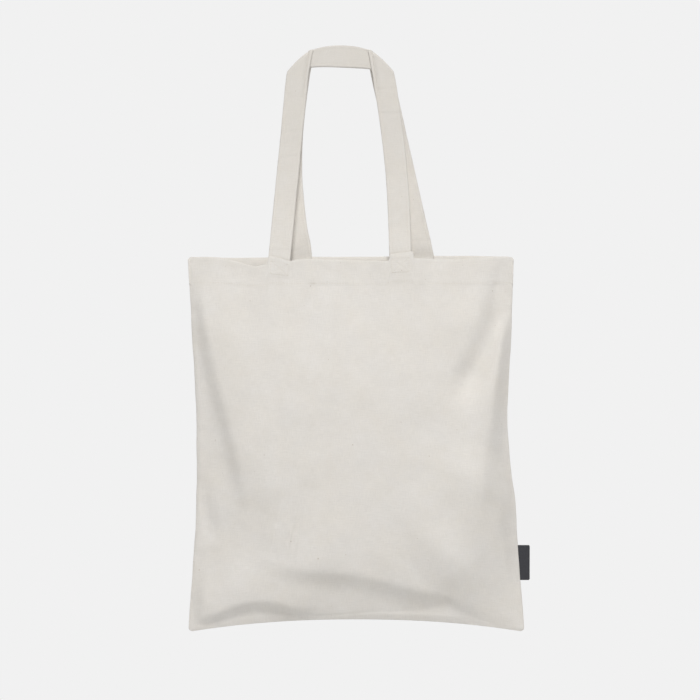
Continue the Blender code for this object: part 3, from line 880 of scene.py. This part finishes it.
class Nodes:
    """Short calls for building a node tree."""

    def __init__(self, name):
        self.material = bpy.data.materials.new(name)
        self.material.use_nodes = True
        self.tree = self.material.node_tree
        self.shader = self.tree.nodes["Principled BSDF"]

    def add(self, kind, inputs=(), **settings):
        node = self.tree.nodes.new(kind)
        for key, value in settings.items():
            setattr(node, key, value)
        for key, value in dict(inputs).items():
            if isinstance(value, bpy.types.NodeSocket):
                self.tree.links.new(value, node.inputs[key])
            else:
                node.inputs[key].default_value = value
        return node

    def math(self, operation, a, b=0.0, clamp=False):
        return self.add("ShaderNodeMath", {0: a, 1: b}, operation=operation,
                        use_clamp=clamp).outputs[0]

    def noise(self, vector, scale, detail=2.0, roughness=0.5):
        return self.add("ShaderNodeTexNoise", {"Vector": vector, "Scale": scale, "Detail": detail,
                                               "Roughness": roughness}).outputs["Fac"]

    def stretched(self, vector, scale):
        mapping = self.add("ShaderNodeMapping", {"Vector": vector, "Scale": scale})
        return mapping.outputs["Vector"]

    def ramp(self, value, low, high, out_low=0.0, out_high=1.0):
        return self.add("ShaderNodeMapRange", {"Value": value, "From Min": low, "From Max": high,
                                               "To Min": out_low, "To Max": out_high}).outputs[0]

    def mix(self, amount, a, b):
        node = self.add("ShaderNodeMix", data_type="RGBA")
        for key, value in (("Factor", amount), ("A", a), ("B", b)):
            socket = next(s for s in node.inputs if s.name == key and s.enabled)
            if isinstance(value, bpy.types.NodeSocket):
                self.tree.links.new(value, socket)
            else:
                socket.default_value = value
        return next(s for s in node.outputs if s.enabled)

    def flat_place(self):
        return self.add("ShaderNodeUVMap", uv_map="flat").outputs["UV"]

    def plug(self, key, value):
        self.tree.links.new(value, self.shader.inputs[key])

    def fix(self, values):
        for key, value in values.items():
            self.shader.inputs[key].default_value = value

    def relief(self, height, strength, distance):
        bumped = self.add("ShaderNodeBump", {"Height": height, "Strength": strength,
                                             "Distance": distance})
        self.plug("Normal", bumped.outputs["Normal"])


def plain_weave(nodes, flat, pitch):
    """Height of a plain weave, 0 to 1: warp over weft on one square, then weft over warp."""
    thread = nodes.stretched(flat, (1 / pitch, 1 / pitch, 1))
    split = nodes.add("ShaderNodeSeparateXYZ", {0: thread}).outputs
    across = nodes.math("ABSOLUTE", nodes.math("SINE", nodes.math("MULTIPLY", split[0], math.pi)))
    along = nodes.math("ABSOLUTE", nodes.math("SINE", nodes.math("MULTIPLY", split[1], math.pi)))
    over = nodes.add("ShaderNodeTexChecker", {"Vector": thread, "Scale": 1.0}).outputs["Fac"]
    warp_up, weft_up = (
        nodes.math("MULTIPLY", a, nodes.math("ADD", nodes.math("MULTIPLY", b, 0.4), 0.6))
        for a, b in ((across, along), (along, across)))
    difference = nodes.math("SUBTRACT", warp_up, weft_up)
    return nodes.math("ADD", weft_up, nodes.math("MULTIPLY", difference, over))


def canvas_material(name, colours, flecks=1.0, length=0.0):
    """Cotton canvas. On a strap of the given length, painted shade darkens the middle of its run,
    over the crown.
    """
    nodes = Nodes(name)
    light, warm = colours
    flat = nodes.flat_place()
    weave = plain_weave(nodes, flat, WEAVE_PITCH)
    warp_slubs = nodes.noise(nodes.stretched(flat, (1250, 110, 1)), 1.0, 3.0, 0.6)
    weft_slubs = nodes.noise(nodes.stretched(flat, (95, 1150, 1)), 1.0, 3.0, 0.6)
    slubs = nodes.math("ADD", warp_slubs, weft_slubs)
    blotches = nodes.noise(flat, 20.0, 3.0)
    patches = nodes.noise(flat, 75.0, 4.0, 0.6)
    tone = nodes.ramp(nodes.math("ADD", blotches, nodes.math("MULTIPLY", patches, 0.6)), 0.6, 1.05)
    colour = nodes.mix(tone, (*light, 1.0), (*warm, 1.0))
    shade = darker(warm, 0.72)
    colour = nodes.mix(nodes.ramp(slubs, 0.80, 1.25, 0.0, 0.26), colour, shade)
    # Painted shade: the colour darkens in the low parts of the weave, between the threads.
    colour = nodes.mix(nodes.ramp(weave, 0.0, 0.55, 0.16, 0.0), colour, darker(warm, 0.62))
    mottling = nodes.noise(flat, 30.0, 8.0, 0.66)
    colour = nodes.mix(nodes.ramp(mottling, 0.34, 0.68, 0.0, 0.15), colour, shade)
    cells = nodes.add("ShaderNodeTexVoronoi", {"Vector": nodes.stretched(flat, (260, 190, 1)),
                                               "Scale": 1.0, "Randomness": 1.0}).outputs
    parts = nodes.add("ShaderNodeSeparateColor", {0: cells["Color"]}).outputs
    chosen = nodes.math("GREATER_THAN", parts[0], 0.955)
    size = nodes.ramp(parts[1], 0.0, 1.0, 0.06, 0.20)
    dot = nodes.math("LESS_THAN", cells["Distance"], size)
    strength = nodes.math("MULTIPLY", nodes.math("MULTIPLY", dot, chosen),
                          nodes.ramp(parts[2], 0.0, 1.0, 0.08 * flecks, 0.34 * flecks))
    colour = nodes.mix(strength, colour, FLECK)
    # Painted shade: the colour darkens toward the middle of the strap's run, over the crown and the
    # tops of the legs.
    if length:
        run = nodes.add("ShaderNodeSeparateXYZ", {0: flat}).outputs[1]
        from_middle = nodes.math("ABSOLUTE", nodes.math("SUBTRACT", run, length / 2))
        painted_crown_shade = nodes.ramp(from_middle, 0.12, 0.25, 0.38, 0.0)
        colour = nodes.mix(painted_crown_shade, colour, shade)
    nodes.plug("Base Color", colour)
    nodes.plug("Roughness", nodes.ramp(patches, 0.3, 0.7, 0.84, 0.96))
    nodes.fix({"Sheen Weight": 0.10, "Sheen Roughness": 0.5, "Specular IOR Level": 0.2})
    nodes.relief(nodes.math("ADD", weave, nodes.math("MULTIPLY", slubs, 1.1)), 0.6, 0.14 * MM)
    return nodes.material


def thread_material():
    """Plied cotton thread."""
    nodes = Nodes("thread_look")
    place = nodes.add("ShaderNodeTexCoord").outputs["Object"]
    ply = nodes.add("ShaderNodeTexWave", {"Vector": place, "Scale": 900.0, "Distortion": 1.5},
                    bands_direction="DIAGONAL").outputs["Fac"]
    tone = nodes.noise(place, 60.0)
    nodes.plug("Base Color", nodes.mix(nodes.ramp(tone, 0.3, 0.7), *THREAD_COLOURS))
    nodes.plug("Roughness", nodes.ramp(tone, 0.3, 0.7, 0.62, 0.78))
    nodes.fix({"Sheen Weight": 0.2})
    nodes.relief(ply, 0.4, 0.05 * MM)
    return nodes.material


def label_material():
    """Black woven ribbon with a fine rib."""
    nodes = Nodes("label_look")
    flat = nodes.flat_place()
    weave = plain_weave(nodes, flat, LABEL_WEAVE_PITCH)
    rib = nodes.add("ShaderNodeTexWave", {"Vector": flat, "Scale": 260.0},
                    bands_direction="Y").outputs["Fac"]
    tone = nodes.noise(flat, 400.0, 3.0)
    colour = nodes.mix(nodes.ramp(tone, 0.3, 0.7), *LABEL_COLOURS)
    # Painted highlight: the raised threads of the weave are lighter.
    colour = nodes.mix(nodes.ramp(weave, 0.2, 0.9, 0.0, 0.35), colour, LABEL_PAINTED_HIGHLIGHT)
    nodes.plug("Base Color", colour)
    nodes.plug("Roughness", nodes.ramp(tone, 0.3, 0.7, 0.55, 0.72))
    nodes.fix({"Sheen Weight": 0.25, "Sheen Roughness": 0.35})
    nodes.relief(nodes.math("ADD", weave, nodes.math("MULTIPLY", rib, 0.5)), 0.5, 0.08 * MM)
    return nodes.material


def paint_everything():
    """Give each piece the look that its slot names."""
    looks = {
        "cotton_canvas": canvas_material("canvas_look", CANVAS_COLOURS),
        "strap_canvas": canvas_material("strap_look", LIGHTENED_STRAP_COLOURS, flecks=1.3, length=0.60),
        "sewing_thread": thread_material(),
        "woven_label": label_material(),
    }
    for piece in bpy.data.objects:
        if piece.type == "MESH" and piece.get("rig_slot") in looks:
            piece.data.materials.clear()
            piece.data.materials.append(looks[piece["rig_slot"]])


# --- Stage ---

BACKDROP = (0.880, 0.880, 0.880, 1.0)
FLOOR_COLOURS = ((0.71, 0.71, 0.71, 1.0), (0.73, 0.73, 0.73, 1.0))
FLOOR_REACH = 3.0
FLOOR_BELOW_BAG = 0.75
FLOOR_FADES_BY = 2.9
FILL_LIGHT = 0.24
# The camera looks level at this point and takes in this many metres there
VIEW_CENTRE = Vector((0.0108, 0.0, -0.3204))
VIEW_FIELD = 0.794
# Area lights: name, place, width, height, power
LIGHTS = (
    ("key", (0.03, -3.7, 3.6), 1.2, 2.2, 222.0),
    ("front", (0.6, -3.0, 0.1), 1.2, 1.2, 8.0),
    ("rear", (0.4, 2.2, 1.5), 1.4, 1.4, 36.0),
    ("left_edge", (-2.0, 1.5, -0.2), 0.8, 1.4, 18.0),
    ("right_edge", (2.0, 1.5, -0.2), 0.8, 1.4, 18.0),
)


def make_stage():
    """A floor far below the bag, which fades into the backdrop."""
    corners = [(x * FLOOR_REACH, y * FLOOR_REACH, CORNER_Z - FLOOR_BELOW_BAG)
               for x, y in ((-1, -1), (1, -1), (1, 1), (-1, 1))]
    mesh = bpy.data.meshes.new("floor")
    mesh.from_pydata(corners, [], [(0, 1, 2, 3)])
    floor = add_object("floor", mesh)
    paint = Nodes("floor_look")
    place = paint.add("ShaderNodeTexCoord").outputs["Object"]
    paint.plug("Base Color", paint.mix(paint.noise(place, 3.0), *FLOOR_COLOURS))
    paint.fix({"Roughness": 0.9})
    reach = paint.add("ShaderNodeVectorMath", {0: place, 1: (1.0, 1.0, 0.0)},
                      operation="MULTIPLY").outputs[0]
    away = paint.add("ShaderNodeVectorMath", {0: reach}, operation="LENGTH").outputs["Value"]
    fade = paint.add("ShaderNodeMapRange", {"Value": away, "From Min": 0.0,
                                              "From Max": FLOOR_FADES_BY},
                     interpolation_type="SMOOTHSTEP").outputs[0]
    glow = paint.add("ShaderNodeEmission", {"Color": BACKDROP, "Strength": 1.0}).outputs[0]
    blend = paint.add("ShaderNodeMixShader", {0: fade, 1: paint.shader.outputs[0], 2: glow})
    paint.tree.links.new(blend.outputs[0], paint.tree.nodes["Material Output"].inputs["Surface"])
    mesh.materials.append(paint.material)


def make_world():
    """An even fill light, with the backdrop's colour where the camera looks past everything."""
    world = bpy.data.worlds.new("studio")
    world.use_nodes = True
    bpy.context.scene.world = world
    nodes, links = world.node_tree.nodes, world.node_tree.links
    seen = nodes["Background"]
    seen.inputs["Color"].default_value = BACKDROP
    light = nodes.new("ShaderNodeBackground")
    light.inputs["Color"].default_value = (1.0, 1.0, 1.0, 1.0)
    light.inputs["Strength"].default_value = FILL_LIGHT
    path = nodes.new("ShaderNodeLightPath")
    mixer = nodes.new("ShaderNodeMixShader")
    links.new(path.outputs["Is Camera Ray"], mixer.inputs[0])
    links.new(light.outputs[0], mixer.inputs[1])
    links.new(seen.outputs[0], mixer.inputs[2])
    links.new(mixer.outputs[0], nodes["World Output"].inputs["Surface"])


def add_area_light(name, place, width, height, power):
    lamp = bpy.data.lights.new(name, "AREA")
    lamp.shape = "RECTANGLE"
    lamp.size = width
    lamp.size_y = height
    lamp.energy = power
    holder = add_object(name, lamp)
    holder.location = place
    holder.rotation_euler = (VIEW_CENTRE - Vector(place)).to_track_quat("-Z", "Y").to_euler()


def make_camera_and_lights():
    lens = bpy.data.cameras.new("camera")
    lens.lens = 100.0
    lens.sensor_width = 36.0
    camera = add_object("camera", lens)
    distance = VIEW_FIELD * lens.lens / lens.sensor_width
    camera.location = VIEW_CENTRE - Vector((0.0, distance, 0.0))
    camera.rotation_euler = (math.pi / 2, 0.0, 0.0)
    bpy.context.scene.camera = camera
    for light in LIGHTS:
        add_area_light(*light)
    bpy.context.scene.view_settings.view_transform = "Standard"


# --- Assembly ---

make_camera_and_lights()
make_world()
make_stage()
for word, side in (("front", FRONT), ("back", BACK)):
    panel = Panel(word, side)
    make_strap(panel)
    make_panel(panel)
    make_hem_stitching(panel)
    for leg in ("left", "right"):
        make_box_stitching(panel, leg)
for seam in ("left", "right", "bottom"):
    make_seam(seam)
    make_overlock(seam)
make_label()
paint_everything()
